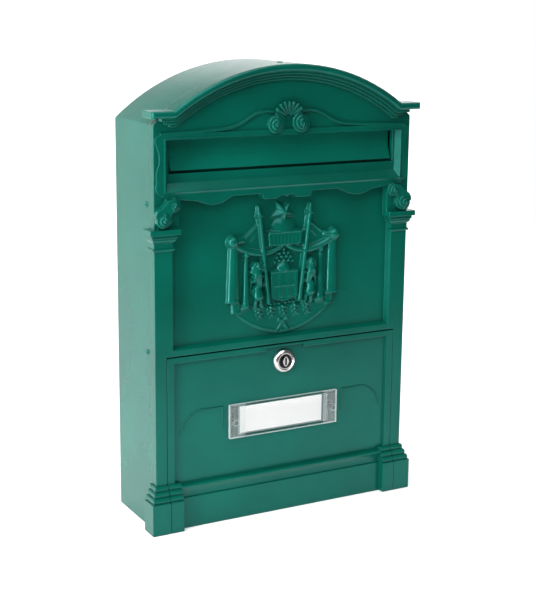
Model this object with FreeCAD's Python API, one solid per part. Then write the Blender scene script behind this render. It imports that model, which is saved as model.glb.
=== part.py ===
import FreeCAD, Part
import math
import os

from FreeCAD import Vector

# Wall letter box with a cast ornamental front, a folded housing, a drop-down door and a letter flap.
# All sizes are millimetres. X is to the right, the front faces -Y and the wall is the plane Y = 0.
# Heights are measured from the foot of the plinths while the pieces are made.

# Body
body_width = 250.0
body_depth = 81.0
crown_height = 399.0
roof_rise = 48.0
eave_bend = 3.0
sheet_gauge = 1.0
sheet_fit = 0.1

# Wall fixing
wall_hole_radius = 3.25
wall_hole_spread_x = 170.0
wall_hole_spread_z = 240.0
wall_hole_centre = 180.0

# Casting
cast_wall = 3.0
lip_depth = 10.5
web_depth = 9.0
panel_depth = 6.0
rail_height = 5.5
pilaster_width = 16.5
draft = 1.5

# Cornice
cornice_reach = 10.0
cornice_height = 6.0
cornice_nose = 2.4
wing_reach = 5.0
wing_rise = 12.0
step_height = 2.5
step_fronts = (6.6, 4.4, 2.4)
step_returns = (4.7, 9.4, 13.5)

# Letter slot, its surround and its flap
slot_margin = 10.0
slot_height = 42.8
frieze_height = 12.2
mouth_inset = 5.0
mouth_rise = 14.5
sill_rise = 7.0
sill_depth = 3.8
sill_lip = 1.5
frame_bead = 3.5
frame_rise = 2.4
surround_rise = 1.3
flap_gauge = 1.2
flap_end_gap = 0.6
flap_foot_lap = 3.0
flap_foot_gap = 1.5
crease_rise = 14.3
flap_kick = 3.2
flap_swing_gap = 0.08
rod_radius = 1.5
rod_rise = 3.7
rod_back = 7.2
ear_width = 3.0
ear_radius = 4.2
cap_radius = 3.4
cap_width = 2.6

# Capitals, consoles and plinths
console_height = 30.4
abacus_height = 4.6
abacus_reach = 5.6
neck_height = 14.0
console_reach = 9.5
upper_scroll_radius = 6.2
lower_scroll_radius = 8.0
volute_radius = 9.2
volute_reach = 6.0
plinth_height = 28.0
base_rise = 14.0
plinth_width = 22.7
plinth_front = 8.0
plinth_side = 6.7

# Door
door_height = 154.3
door_margin = 10.8
door_gap = 0.5
door_top_gap = 1.2
door_panel_depth = 2.5
door_border = 6.7
door_rim = 5.0
door_notch_half_width = 19.0
door_notch_rim = 1.9
ledge_lap = 2.0
skirting_front = 2.0
arc_rise = 0.7
hinge_radius = 2.0
hinge_height = 8.0
hinge_forward = 2.0
hinge_fit = 0.05
hinge_length = 15.0
rail_lip = 2.0
rail_lap = 5.3

# Lock
lock_margin = 1.14
flange_radius = 11.0
flange_height = 4.4
barrel_radius = 9.0
barrel_fit = 0.1
plug_radius = 6.2
plug_fit = 0.05
tang_half = 3.0
tang_fit = 0.05
cam_gauge = 1.6
cam_lap = 8.5
cam_half_width = 5.5
cam_gap = 0.6
nut_flat = 11.0
nut_height = 4.0
washer_gauge = 0.8
washer_radius = 11.66
plug_recess = 0.9
key_plate_width = 7.6
key_plate_height = 10.0
key_plate_rise = 1.1
keyway = (1.7, 6.6, 7.0)

# Name holder
holder_width = 109.0
holder_height = 30.6
holder_depth = 4.6
holder_drop = 48.9
holder_rim = 3.3
card_margin = 3.05
card_gauge = 0.4
card_shift = -1.7
card_play = 0.6
stud_inset = 4.7
stud_radius = 2.0
stud_head_radius = 3.5
stud_head_rise = 0.9
stud_fit = 0.15
push_nut_radius = 5.0
push_nut_gauge = 0.5

# Housing screws
screw_radius = 1.5
screw_fit = 0.02
screw_length = 7.0
screw_head_radius = 2.7
screw_head_height = 1.8
screw_back = 15.5
screw_rise = 2.5
screw_drop = 11.0
lug_half = 6.5
lug_thickness = 5.0

# Places worked out from the sizes above
half_width = body_width / 2
slot_half_width = half_width - slot_margin
mouth_half_width = slot_half_width - mouth_inset
pilaster_inner = half_width - pilaster_width
door_half_width = half_width - door_margin
door_panel_half_width = door_half_width - door_border
opening_half_width = door_half_width + door_gap
plinth_inner = half_width - plinth_width
wing_half_width = half_width + wing_reach

# Heights from the crown down to the panel of the arms
eave_height = crown_height - roof_rise
wing_top = eave_height + wing_rise
wing_foot = wing_top - cornice_height
slot_top = eave_height - frieze_height
slot_foot = slot_top - slot_height
mouth_foot = slot_foot + mouth_rise
flap_crease = mouth_foot + crease_rise
rod_height = slot_top + rod_rise
abacus_top = slot_foot - console_height
abacus_foot = abacus_top - abacus_height
neck_foot = abacus_foot - neck_height

# Heights from the foot up to the panel of the arms
base_height = plinth_height + base_rise
door_panel_foot = base_height - ledge_lap
door_panel_top = door_height - door_rim
door_notch_top = door_height - door_notch_rim
lock_height = door_height - cast_wall - lock_margin - washer_radius
rail_foot = door_height - rail_lap
cam_length = rail_foot - lock_height + cam_lap
holder_centre = lock_height - holder_drop
opening_top = door_height + door_top_gap
panel_foot = opening_top + rail_height
panel_height = slot_foot - panel_foot
screw_heights = (opening_top + screw_rise, slot_foot - screw_drop)

# Name holder, from its outside to the card
stud_offset = holder_width / 2 - stud_inset
window_half_width = stud_offset - 2.5 * stud_radius
card_width = 2 * (window_half_width - card_margin)
card_height = holder_height - 2 * holder_rim

# Depths, and the arc of the roof
roof_radius = (half_width ** 2 + roof_rise ** 2) / (2 * roof_rise)
roof_centre = crown_height - roof_radius
face_y = -body_depth
lip_y = face_y + lip_depth
web_y = face_y + web_depth
panel_y = face_y + panel_depth
skin_y = face_y + cast_wall
door_panel_y = face_y + door_panel_depth
door_skin_y = door_panel_y + cast_wall
rail_y = lip_y + door_gap
rod_y = face_y + rod_back
hinge_y = face_y - hinge_forward
overlap = 0.6

# Scale of the arms, which are drawn on a panel 135 high and 217 wide
arms = min(panel_height / 135.0, pilaster_inner / 108.5)
far = 500.0


def block(x0, x1, y0, y1, z0, z1):
    return Part.makeBox(x1 - x0, y1 - y0, z1 - z0, Vector(x0, y0, z0))


def closed_wire(steps, place):
    """Outline through steps of two numbers; a step of four is an arc through its first point."""
    points = [place(*step[-2:]) for step in steps]
    edges = []
    for index, step in enumerate(steps):
        start = points[index - 1]
        end = points[index]
        if len(step) == 4:
            edges.append(Part.Arc(start, place(*step[:2]), end).toShape())
        else:
            edges.append(Part.makeLine(start, end))
    return Part.Wire(edges)


def plate(steps, y0, y1):
    """Outline in X and Z, drawn out along Y."""
    wire = closed_wire(steps, lambda x, z: Vector(x, y0, z))
    return Part.Face(wire).extrude(Vector(0, y1 - y0, 0))


def bar(steps, x0, x1):
    """Outline in Y and Z, drawn out along X."""
    wire = closed_wire(steps, lambda y, z: Vector(x0, y, z))
    return Part.Face(wire).extrude(Vector(x1 - x0, 0, 0))


def rectangle(half, foot, top):
    return [(-half, foot), (half, foot), (half, top), (-half, top)]


def tapered(front, front_y, back, back_y):
    """Solid between two outlines in X and Z with as many corners."""
    wires = [closed_wire(front, lambda x, z: Vector(x, front_y, z)),
             closed_wire(back, lambda x, z: Vector(x, back_y, z))]
    return Part.makeLoft(wires, True, True)


def rod_x(radius, x0, x1, y, z):
    return Part.makeCylinder(radius, x1 - x0, Vector(x0, y, z), Vector(1, 0, 0))


def rod_y_axis(radius, y0, y1, x, z):
    return Part.makeCylinder(radius, y1 - y0, Vector(x, y0, z), Vector(0, 1, 0))


def turned(profile, x, z):
    """Profile of radius and Y, turned about the line along Y through x and z."""
    wire = closed_wire(profile, lambda radius, y: Vector(x + radius, y, z))
    return Part.Face(wire).revolve(Vector(x, 0, z), Vector(0, 1, 0), 360)


def skinned(stations, sides=8):
    """Solid with flat sides, skinned over stations of middle, direction and radius; no radius is a point."""
    turns = [2 * math.pi * (index + 0.5) / sides for index in range(sides)]
    rings = []
    for middle, direction, radius in stations:
        across = direction.cross(Vector(0, -1, 0)) if abs(direction.y) < 0.9 else Vector(1, 0, 0)
        across.normalize()
        up = across.cross(direction)
        rings.append([middle + (across * math.sin(turn) + up * math.cos(turn)) * radius for turn in turns])
    faces = []
    for near, onward in zip(rings, rings[1:]):
        for index in range(sides):
            corners = [near[index - 1], near[index], onward[index], onward[index - 1]]
            loop = [corner for place, corner in enumerate(corners)
                    if corner.distanceToPoint(corners[place - 1]) > 0.000001]
            faces.append(Part.Face(Part.makePolygon(loop + loop[:1])))
    solid = Part.makeSolid(Part.makeShell(faces))
    if solid.Volume < 0:
        solid.reverse()
    return solid


def rounded_end(middle, direction, radius):
    """Stations of a round end, from its point to its full radius."""
    back = direction * -radius
    return [(middle + back, direction, 0), (middle + back * 0.7, direction, 0.7 * radius),
            (middle, direction, radius)]


def rounded_start_to_end(path, r0, r1):
    """Round roll through places with directions, from one radius to another, with round ends."""
    first, along = path[0]
    last, onward = path[-1]
    stations = rounded_end(first, along, r0)
    for index, (middle, direction) in enumerate(path[1:-1]):
        stations.append((middle, direction, r0 + (r1 - r0) * (index + 1) / (len(path) - 1)))
    for middle, direction, radius in reversed(rounded_end(last, onward * -1, r1)):
        stations.append((middle, onward, radius))
    return skinned(stations)


def rounded_taper(start, r0, end, r1):
    """Straight tapered rod with round ends."""
    along = (end - start).normalize()
    return rounded_start_to_end([(start, along), (end, along)], r0, r1)


def ball(radius, centre):
    front = Vector(0, -1, 0)
    return skinned(rounded_end(centre, front, radius) + [(centre + front * 0.7 * radius, front, 0.7 * radius),
                                                         (centre + front * radius, front, 0)])


def mirrored(shape):
    return shape.mirror(Vector(0, 0, 0), Vector(1, 0, 0))


def pair(shapes):
    return shapes + [mirrored(shape) for shape in shapes]


def joined(shapes):
    return shapes[0].multiFuse(shapes[1:]).removeSplitter()


def returned(steps):
    """The same run of steps, followed from its end back to its start."""
    back = list(reversed(steps))
    return [back[0][-2:]] + [step[:-2] + before[-2:] for step, before in zip(back, back[1:])]


def placed(steps, edge, scale):
    """Steps of reach and height, with the reach laid off from an edge."""
    return [tuple(value if index % 2 else edge + scale * value for index, value in enumerate(step))
            for step in steps]


def arched_outline(inset, foot):
    side = half_width - inset
    radius = roof_radius - inset
    eave = roof_centre + math.sqrt(radius ** 2 - side ** 2)
    return [(-side, foot), (side, foot), (side, eave), (0, roof_centre + radius, -side, eave)]


def arched_block(inset, foot, y0, y1):
    """Prism of the body's outline, set in by a margin, with the bends at the eaves rounded."""
    solid = plate(arched_outline(inset, foot), y0, y1)
    side = half_width - inset
    bends = []
    for edge in solid.Edges:
        middle = edge.CenterOfMass
        upright = edge.BoundBox.YLength > 0.9 * (y1 - y0)
        if upright and abs(abs(middle.x) - side) < 0.01 and middle.z > eave_height / 2:
            bends.append(edge)
    return solid.makeFillet(eave_bend, bends)


def housing_wrap():
    wrap = arched_block(0, 0, lip_y, 0)
    wrap = wrap.cut(arched_block(sheet_gauge, -1, lip_y - 1, 1))
    for hole in screw_solids(screw_radius + sheet_fit, screw_head_radius)[1]:
        wrap = wrap.cut(hole)
    return wrap


def screw_solids(shank, head):
    """Screws of the housing, heads outside the sheet, and their bare shanks."""
    screws = []
    shanks = []
    y = lip_y - lip_depth + screw_back
    seats = [(Vector(side * half_width, y, z), Vector(side, 0, 0)) for side in (-1, 1) for z in screw_heights]
    seats.append((Vector(0, y, crown_height), Vector(0, 0, 1)))
    for seat, out in seats:
        stem = Part.makeCylinder(shank, screw_length + overlap, seat - out * screw_length, out)
        dome_radius = (head ** 2 + screw_head_height ** 2) / (2 * screw_head_height)
        dome = Part.makeSphere(dome_radius, seat - out * (dome_radius - screw_head_height))
        cap = dome.common(Part.makeCylinder(head + 1, screw_head_height + 1, seat, out))
        screws.append(stem.fuse(cap))
        shanks.append(stem)
    return screws, shanks


def housing_screws():
    return Part.makeCompound(screw_solids(screw_radius, screw_head_radius)[0])


def back_panel():
    inset = sheet_gauge + sheet_fit
    side = half_width - inset
    floor_front = hinge_y + math.hypot(lip_y - hinge_y, hinge_height) + 1.0
    lip_height = 8.0
    flange = 12.0
    pieces = [arched_block(inset, 0, -sheet_gauge, 0),
              block(-side, side, floor_front, 0, 0, sheet_gauge),
              block(-side, side, floor_front, floor_front + sheet_gauge, 0, lip_height)]
    pieces += pair([block(side - sheet_gauge, side, -flange, 0, 0, eave_height - flange)])
    panel = joined(pieces)
    for x in (-wall_hole_spread_x / 2, wall_hole_spread_x / 2):
        for z in (-wall_hole_spread_z / 2, wall_hole_spread_z / 2):
            panel = panel.cut(rod_y_axis(wall_hole_radius, -10, 10, x, wall_hole_centre + z))
    return panel


def arch_band(outer, inner, foot, end, top, front, back):
    """One run of the cornice: an arched band that turns out into a level stub at each end."""
    front_y = face_y - front
    inside = rod_y_axis(inner, front_y - 1, lip_y + 1, 0, roof_centre)
    ring = rod_y_axis(outer, front_y, face_y + overlap, 0, roof_centre).cut(inside)
    above = block(-far, far, front_y, face_y + overlap, foot, far)
    start = math.sqrt(inner ** 2 - (top - roof_centre) ** 2)
    stub = block(start, end, front_y, back, foot, top).cut(inside)
    return joined([ring.common(above)] + pair([stub]))


def cornice():
    """Rounded bead with its wings, and the three fine steps under it."""
    outer = roof_radius - cornice_height
    bead = arch_band(roof_radius, outer, wing_foot, wing_half_width, wing_top, cornice_reach, lip_y)
    front = face_y - cornice_reach
    edges = [edge for edge in bead.Edges if edge.BoundBox.YMax < front + 0.01]
    runs = [bead.makeFillet(cornice_nose, edges)]
    foot = wing_foot
    for front, back_set in zip(step_fronts, step_returns):
        inner = outer - step_height
        end = half_width - back_set
        top = foot + overlap
        runs.append(arch_band(outer + overlap, inner, foot - step_height, end, top, front, face_y + overlap))
        outer = inner
        foot -= step_height
    return runs


def apron_outline(top):
    """Lower edge of the slot's surround: two shallow swags and a cusped tab in the middle."""
    def at(share, drop):
        return share * slot_half_width, slot_foot - drop

    end = slot_half_width + 3.0
    right = [(end, slot_foot - 4.0), at(0.87, 7.0) + at(0.74, 8.6), at(0.583, 12.4) + at(0.496, 8.6),
             at(0.465, 6.3), at(0.213, 6.3), at(0.2, 11.2), at(0.078, 11.2), at(0.048, 8.4) + at(0, 10.4)]
    left = placed(returned(right)[1:], 0, -1)
    return right + left + [(-end, top), (end, top)]


def surround():
    """Raised plate round the letter slot, with braced sides, and the bead of the slot's frame."""
    front = face_y - surround_rise
    height = slot_top - slot_foot

    def at(out, share):
        return slot_half_width + out, slot_foot + share * height

    brace = [at(-3.0, -0.07), at(4.0, -0.058), at(8.0, 0.024) + at(7.6, 0.187),
             at(7.8, 0.374) + at(5.6, 0.537), at(5.4, 0.7) + at(7.6, 0.888), at(8.4, 1.05) + at(2.0, 1.112),
             at(-3.0, 1.112)]
    top = slot_top + frame_bead + 1.5
    plates = [plate(apron_outline(top), front, face_y + overlap)]
    plates += pair([plate(brace, front, face_y + overlap)])
    outer = rectangle(slot_half_width + frame_bead, slot_foot - frame_bead, slot_top + frame_bead)
    inner = rectangle(slot_half_width, slot_foot, slot_top)
    plates.append(tapered(inner, face_y - frame_rise, outer, face_y))
    return plates


def swan_neck():
    """Thin bead that rises from the slot's corners and runs over the two volutes."""
    course = ((1.039, 5.2), (0.835, 5.6), (0.661, 6.4), (0.496, 7.8), (0.383, 11.6), (0.287, 18.0),
              (0.2, 20.6), (0.113, 19.7))

    def strip(lift):
        curve = Part.BSplineCurve()
        curve.interpolate([Vector(share * slot_half_width, face_y - 1.4, slot_top + rise + lift)
                           for share, rise in course])
        return curve.toShape()

    upper = strip(1.1)
    lower = strip(-1.1)
    ends = [Part.makeLine(upper.Vertexes[0].Point, lower.Vertexes[0].Point),
            Part.makeLine(upper.Vertexes[-1].Point, lower.Vertexes[-1].Point)]
    face = Part.Face(Part.Wire([upper, ends[1], lower, ends[0]]))
    return pair([face.extrude(Vector(0, 1.4 + overlap, 0))])


def scroll(x, z, radius, reach):
    """Volute seen from the front: half turns that shrink and rise towards its eye."""
    foot = face_y + overlap
    shrink = 0.16 * radius
    turns = []
    for index in range(6):
        size = radius - shrink * index
        side = 1 if index % 2 else -1
        middle = z - shrink if index % 2 else z
        top = face_y - reach * (0.5 + 0.1 * index)
        bevel = 0.55 * shrink
        profile = [(0, foot), (size, foot), (size, top + bevel), (size - bevel, top), (0, top)]
        wire = closed_wire(profile, lambda reach_up, y: Vector(x, y, middle + reach_up))
        turns.append(Part.Face(wire).revolve(Vector(x, 0, middle), Vector(0, 1, 0), 180 * side))
    return [joined(turns)]


def pediment_ornament():
    """Two volutes under a small shell."""
    offset = 1.37 * volute_radius
    middle = slot_top + 10.7
    pieces = pair(scroll(offset, middle, volute_radius, volute_reach))
    root = Vector(0, face_y - 0.6, middle + 4.6)
    for lobe in range(-3, 4):
        angle = math.radians(lobe * 20.0)
        out = Vector(math.sin(angle), -0.12, math.cos(angle))
        pieces.append(rounded_taper(root + out * 3.0, 0.9, root + out * (11.6 + 0.5 * abs(lobe)), 2.2))
    return pieces


def mitred(front, outline):
    """Moulding that runs round corners: its front outline in Y and Z, kept inside an outline in X and Z."""
    steps = [(lip_y, front[0][-1])] + front + [(lip_y, front[-1][-1])]
    return bar(steps, -far, far).common(plate(outline, -far, far))


def capital():
    """Stepped cap of a pilaster, with a neck and a thin ring below it."""
    steps = [(0.4, neck_foot), (1.6, neck_foot + 1.2, 0.4, neck_foot + 2.5), (0.4, neck_foot + 7.0),
             (2.0, neck_foot + 8.5, 2.4, abacus_foot - 3.0), (3.4, abacus_foot - 3.0), (3.4, abacus_foot),
             (abacus_reach, abacus_foot), (abacus_reach, abacus_top)]
    outline = placed(steps, half_width, 1) + returned(placed(steps, pilaster_inner, -1))
    return mitred(placed(steps, face_y, -1), outline)


def console():
    """Scroll bracket over a capital: two volutes, joined by a slanting band, on a low backing."""
    def at(inset, rise):
        return half_width - inset, abacus_top + rise

    rise = slot_foot - 4.0 - abacus_top
    backing = plate([at(22.4, -overlap), at(3.0, -overlap), at(3.0, 0.55 * rise),
                     at(9.0, 0.77 * rise) + at(10.5, rise), at(22.4, rise)], face_y - 0.9, panel_y + overlap)
    band = plate([at(21.8, 0.64 * rise), at(15.4, 0.56 * rise) + at(12.6, 0.34 * rise), at(6.0, 0.2 * rise),
                  at(-0.6, 0.38 * rise), at(0.6, 0.56 * rise) + at(5.6, 0.7 * rise), at(11.0, 0.92 * rise),
                  at(17.0, 0.96 * rise)], face_y - 0.62 * console_reach, face_y)
    upper = scroll(*at(16.7, 0.76 * rise), upper_scroll_radius, 0.85 * console_reach)
    lower = scroll(*at(6.8, 0.34 * rise), lower_scroll_radius, console_reach)
    return [backing, band] + upper + lower


def plinth_steps():
    """Share of the plinth's reach and height, up the block and its stepped base."""
    rise = (base_height - plinth_height) / 3
    steps = [(1, 0), (1, plinth_height)]
    for tier in range(3):
        share = 0.78 - 0.26 * tier
        foot = plinth_height + rise * tier
        steps += [(share, foot), (share + 0.06, foot + 0.45 * rise, share - 0.05, foot + rise)]
    return steps + [(0, base_height)]


def plinth(x0, x1):
    """Block and stepped base under a pilaster, between two upright faces."""
    front = placed(plinth_steps(), face_y, -plinth_front)
    if x1 > half_width:
        side = placed(plinth_steps(), half_width, x1 - half_width)
    else:
        side = [(x1, 0), (x1, base_height)]
    return mitred(front, [(x0, 0)] + side + [(x0, base_height)])


def relief(x, z, lift):
    """Place on the panel from the drawing of the arms, raised off the panel."""
    return Vector(arms * x, panel_y - arms * lift, panel_foot + arms * z)


def raised(steps, height):
    """Flat form of the arms, from its outline on the drawing."""
    origin = (0, panel_foot)
    outline = [tuple(origin[index % 2] + arms * value for index, value in enumerate(step)) for step in steps]
    return plate(outline, panel_y - arms * height, panel_y + overlap)


def limb(x0, z0, r0, x1, z1, r1, lift):
    """Tapered round form lying on the panel, with round ends."""
    return rounded_taper(relief(x0, z0, lift), arms * r0, relief(x1, z1, lift), arms * r1)


def pearl(x, z, radius, lift):
    return ball(arms * radius, relief(x, z, lift))


def fold(x0, z0, half0, x1, z1, half1, height):
    """Broad low roll of cloth, from one half width to another, cut off straight at its ends."""
    along = (relief(x1, z1, 0) - relief(x0, z0, 0)).normalize()
    stations = []
    for x, z, half in ((x0, z0, half0), (x1, z1, half1)):
        radius = (half ** 2 + height ** 2) / (2 * height)
        stations.append((relief(x, z, height - radius), along, arms * radius))
    caps = [(middle, direction, 0) for middle, direction, radius in stations]
    front = block(-far, far, panel_y - far, panel_y + overlap, -far, far)
    return skinned(caps[:1] + stations + caps[1:], 16).common(front)


def swell(x, z, radius, height, drop):
    """Low spherical swell on the panel, cut off level a little below its middle."""
    sphere = (radius ** 2 + height ** 2) / (2 * height)
    centre = relief(x, z, height - sphere)
    foot = centre.z - arms * drop
    keep = block(centre.x - far, centre.x + far, panel_y - far, panel_y + overlap, foot, foot + far)
    return Part.makeSphere(arms * sphere, centre, Vector(0, -1, 0)).common(keep)


def star(x, z, outer, inner, height):
    """Faceted star with one point down."""
    base = []
    for index in range(10):
        angle = math.radians(-90 + 36 * index)
        radius = inner if index % 2 else outer
        base.append(relief(x + radius * math.cos(angle), z + radius * math.sin(angle), -overlap))
    apex = relief(x, z, height)
    faces = [Part.Face(Part.makePolygon(base + base[:1]))]
    for index, corner in enumerate(base):
        faces.append(Part.Face(Part.makePolygon([base[index - 1], corner, apex, base[index - 1]])))
    return Part.makeSolid(Part.makeShell(faces))


def arc_roll(x0, z0, xm, zm, x1, z1, radius, lift):
    """Round roll of cloth along an arc."""
    arc = Part.Arc(relief(x0, z0, lift), relief(xm, zm, lift), relief(x1, z1, lift)).toShape()
    first, last = arc.ParameterRange
    steps = 4
    places = [first + (last - first) * step / steps for step in range(steps + 1)]
    path = [(arc.valueAt(at), arc.tangentAt(at)) for at in places]
    return rounded_start_to_end(path, arms * radius, arms * radius)


def mantle_half():
    """Right half of the cloth canopy: knob, swags, a hanging fold with its hem, and a pole."""
    pieces = [raised([(0, 88), (17, 91), (26, 100), (38, 91.5), (50, 91), (50, 85), (36, 78.5, 22, 75.5),
                      (10, 77, 0, 83)], 1.4)]
    pieces.append(fold(49.2, 88, 4.6, 49.4, 34.6, 6.2, 3.8))
    pieces.append(fold(46.6, 36, 4.6, 46.2, 24.4, 4.3, 2.3))
    pieces.append(limb(41, 88.4, 2.2, 48.6, 88.2, 3.6, 1.7))
    pieces.append(pearl(50.9, 88, 4.7, 2.2))
    pieces.append(arc_roll(48, 84.6, 36, 78.4, 22, 75.4, 2.5, 1.5))
    pieces.append(arc_roll(22, 75.4, 10.5, 77.4, 0.4, 83, 2.0, 1.6))
    pieces.append(raised([(13.9, 31.6), (16.9, 31.2), (26.4, 109.2), (23.4, 109.6)], 3.2))
    pieces.append(limb(15.4, 31.5, 1.9, 24.9, 109.4, 1.9, 3.2))
    pieces.append(limb(25, 110, 2.6, 25.9, 116.8, 0.9, 2.2))
    return pieces


def supporter_half():
    """Right-hand standing beast, and the small column behind it."""
    pieces = [pearl(37.1, 75.4, 2.6, 2.0)]
    pieces.append(limb(37.1, 72.2, 2.0, 37.3, 30.5, 3.4, 0.8))
    pieces.append(limb(34.6, 28.4, 1.6, 40.2, 28, 1.6, 0.9))
    pieces.append(limb(27.4, 63.6, 3.4, 26.8, 59, 4.6, 2.0))
    pieces.append(limb(24.2, 63, 2.1, 21.8, 61.8, 1.4, 2.6))
    for x, z, radius in ((28.8, 67.4, 1.5), (31.4, 64, 1.7), (31.8, 59.8, 2.0), (30.6, 55.6, 2.0)):
        pieces.append(pearl(x, z, radius, 1.4))
    pieces.append(limb(25.8, 54.8, 4.0, 24.4, 47.4, 2.7, 2.2))
    pieces.append(limb(24.8, 45.6, 2.6, 26.2, 39.4, 5.0, 1.4))
    pieces.append(limb(27.6, 36.6, 2.5, 28, 29.2, 1.7, 1.2))
    pieces.append(limb(23, 36, 2.3, 21.9, 29.4, 1.6, 1.0))
    pieces.append(limb(23, 55, 2.0, 19.4, 56.2, 1.5, 1.2))
    pieces.append(limb(22.6, 48.8, 2.0, 18.6, 46.8, 1.5, 1.2))
    pieces.append(limb(30.2, 38.4, 1.2, 32.6, 45, 1.1, 0.5))
    pieces.append(limb(32.7, 44.6, 1.0, 31.9, 51.2, 1.7, 0.5))
    return pieces


def crown_and_shield():
    """Middle of the relief: star, dome, fluted band, pearls, helm, shield and the ground they stand on."""
    pieces = [star(-0.4, 110.6, 12.8, 5.6, 5.0), swell(0, 94, 13.4, 5.2, 1.0)]
    pieces.append(raised([(-17, 91.6), (-16, 82.2), (16, 82.2), (17, 91.6), (15, 94.2), (-15, 94.2)], 3.6))
    for flute in range(-4, 5):
        pieces.append(limb(3.55 * flute, 83.8, 1.45, 3.75 * flute, 90.6, 1.45, 3.3))
    for row, count in enumerate((1, 3, 4, 5)):
        for place in range(count):
            across = (place - (count - 1) / 2) * 4.6
            pieces.append(pearl(across, 77.8 - 3.3 * row - 0.015 * across ** 2, 1.6, 1.4))
    pieces.append(swell(0, 60.6, 7.0, 4.6, 2.6))
    pieces.append(raised([(-13.6, 59), (-13.2, 47, -13, 36), (-8, 33.6, 0, 31.6), (8, 33.6, 13, 36),
                          (13.2, 47, 13.6, 59)], 3.4))
    for side in (-1, 1):
        pieces.append(limb(10.9 * side, 56, 1.3, 10.9 * side, 37.5, 1.2, 3.0))
        pale = [(2.3 * side, 35.5), (5.7 * side, 35.5), (5.7 * side, 57), (2.3 * side, 57)]
        pieces.append(raised(pale, 4.0))
        pieces.append(limb(0, 13.6, 1.2, 4.0 * side, 14.8, 1.6, 1.0))
        pieces.append(limb(0.4 * side, 12.6, 1.1, 4.8 * side, 6.2, 1.4, 0.9))
    pieces.append(raised([(-47.6, 27.4), (-46.4, 23.2), (0, 2.4, 46.4, 23.2), (47.6, 27.4)], 0.8))
    for x in (-24, -12, 0, 12, 24):
        for drop in range(3):
            pieces.append(pearl(x + 0.7 * drop * (drop - 1), 26.4 - 3.4 * drop, 1.7 - 0.2 * drop, 1.2))
    return pieces


def relief_field():
    """Middle of the panel, which carries the relief of arms."""
    low = relief(-60, 1.9, 0)
    high = relief(60, 122.4, 0)
    return block(low.x, high.x, panel_y, web_y, low.z, high.z)


def front_casting():
    shell = arched_block(0, 0, face_y, lip_y)
    shell = shell.cut(arched_block(cast_wall, -1, web_y, lip_y + 1))
    shell = shell.cut(arched_block(2 * cast_wall, slot_top, skin_y, lip_y + 1))
    panel_front = rectangle(pilaster_inner, panel_foot, slot_foot)
    panel_back = rectangle(pilaster_inner - draft, panel_foot + draft, slot_foot)
    panel = tapered(panel_front, face_y, panel_back, panel_y)
    shell = shell.cut(panel.cut(plate(apron_outline(slot_top), face_y - 1, panel_y + 1)))
    bases = pair([capital(), plinth(opening_half_width, half_width + plinth_side)] + console())
    fittings = casting_lugs() + [door_rail()]
    for group in (cornice(), surround(), swan_neck(), pediment_ornament(), bases, fittings):
        shell = shell.multiFuse(group)
    field = relief_field()
    shell = shell.removeSplitter().cut(casting_cuts() + [field])
    for piece in pair(mantle_half()) + pair(supporter_half()) + crown_and_shield():
        field = field.fuse(piece)
    return shell.fuse(field).removeSplitter()


def door_rail():
    """Rail over the door, with a lip behind the door that stops it and catches the lock's tongue."""
    back = rail_y + rail_lip
    outline = [(web_y - overlap, opening_top), (rail_y, opening_top), (rail_y, rail_foot), (back, rail_foot),
               (back, panel_foot), (web_y - overlap, panel_foot)]
    return bar(outline, cast_wall - half_width, half_width - cast_wall)


def casting_lugs():
    """Lugs for the housing's screws and ears for the flap's rod."""
    y = lip_y - lip_depth + screw_back
    outside = half_width - sheet_gauge - sheet_fit
    back = y + lug_half
    lugs = pair([block(outside - lug_thickness, outside, web_y - overlap, back, z - lug_half, z + lug_half)
                 for z in screw_heights])
    roof = crown_height - sheet_gauge - 3.5 * sheet_fit
    lugs.append(block(-lug_half, lug_half, web_y - overlap, back, roof - lug_thickness, roof))
    inside = mouth_half_width + flap_end_gap
    ear = rod_x(ear_radius, inside, inside + ear_width, rod_y, rod_height)
    ear = ear.fuse(block(inside, inside + ear_width, skin_y - overlap, rod_y, rod_height - ear_radius,
                         rod_height + ear_radius))
    return lugs + pair([ear])


def casting_cuts():
    """Openings, the hollow back and the holes of the casting."""
    through = lip_y + 20
    cuts = [block(-opening_half_width, opening_half_width, face_y - 50, rail_y, -1, opening_top)]
    tray_front = rectangle(slot_half_width, slot_foot, slot_top)
    tray_back = rectangle(mouth_half_width + 2.0, slot_foot + sill_rise, slot_top)
    sill_y = face_y + sill_depth
    cuts.append(tapered(tray_front, face_y - frame_rise, tray_back, sill_y))
    cuts.append(plate(rectangle(mouth_half_width, mouth_foot, slot_top), sill_y - 0.2, through))
    pocket_foot = mouth_foot - flap_foot_lap - flap_foot_gap
    cuts.append(plate(rectangle(mouth_half_width, pocket_foot, mouth_foot + 1), sill_y + sill_lip, through))
    ear_end = mouth_half_width + flap_end_gap + ear_width
    cuts.append(rod_x(rod_radius + screw_fit, -ear_end - 1, ear_end + 1, rod_y, rod_height))
    inside = half_width - cast_wall
    pin_end = opening_half_width + hinge_length / 2
    hollows = [block(opening_half_width + cast_wall, inside, skin_y, through, base_height, opening_top),
               block(pilaster_inner + cast_wall, inside, skin_y, web_y + 1, panel_foot + cast_wall,
                     screw_heights[1] - 2 * lug_half)]
    pins = [rod_x(hinge_radius + screw_fit, opening_half_width - 1, pin_end, hinge_y, hinge_height)]
    return cuts + pair(hollows + pins) + screw_solids(screw_radius + screw_fit, 1.0)[1]


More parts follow.
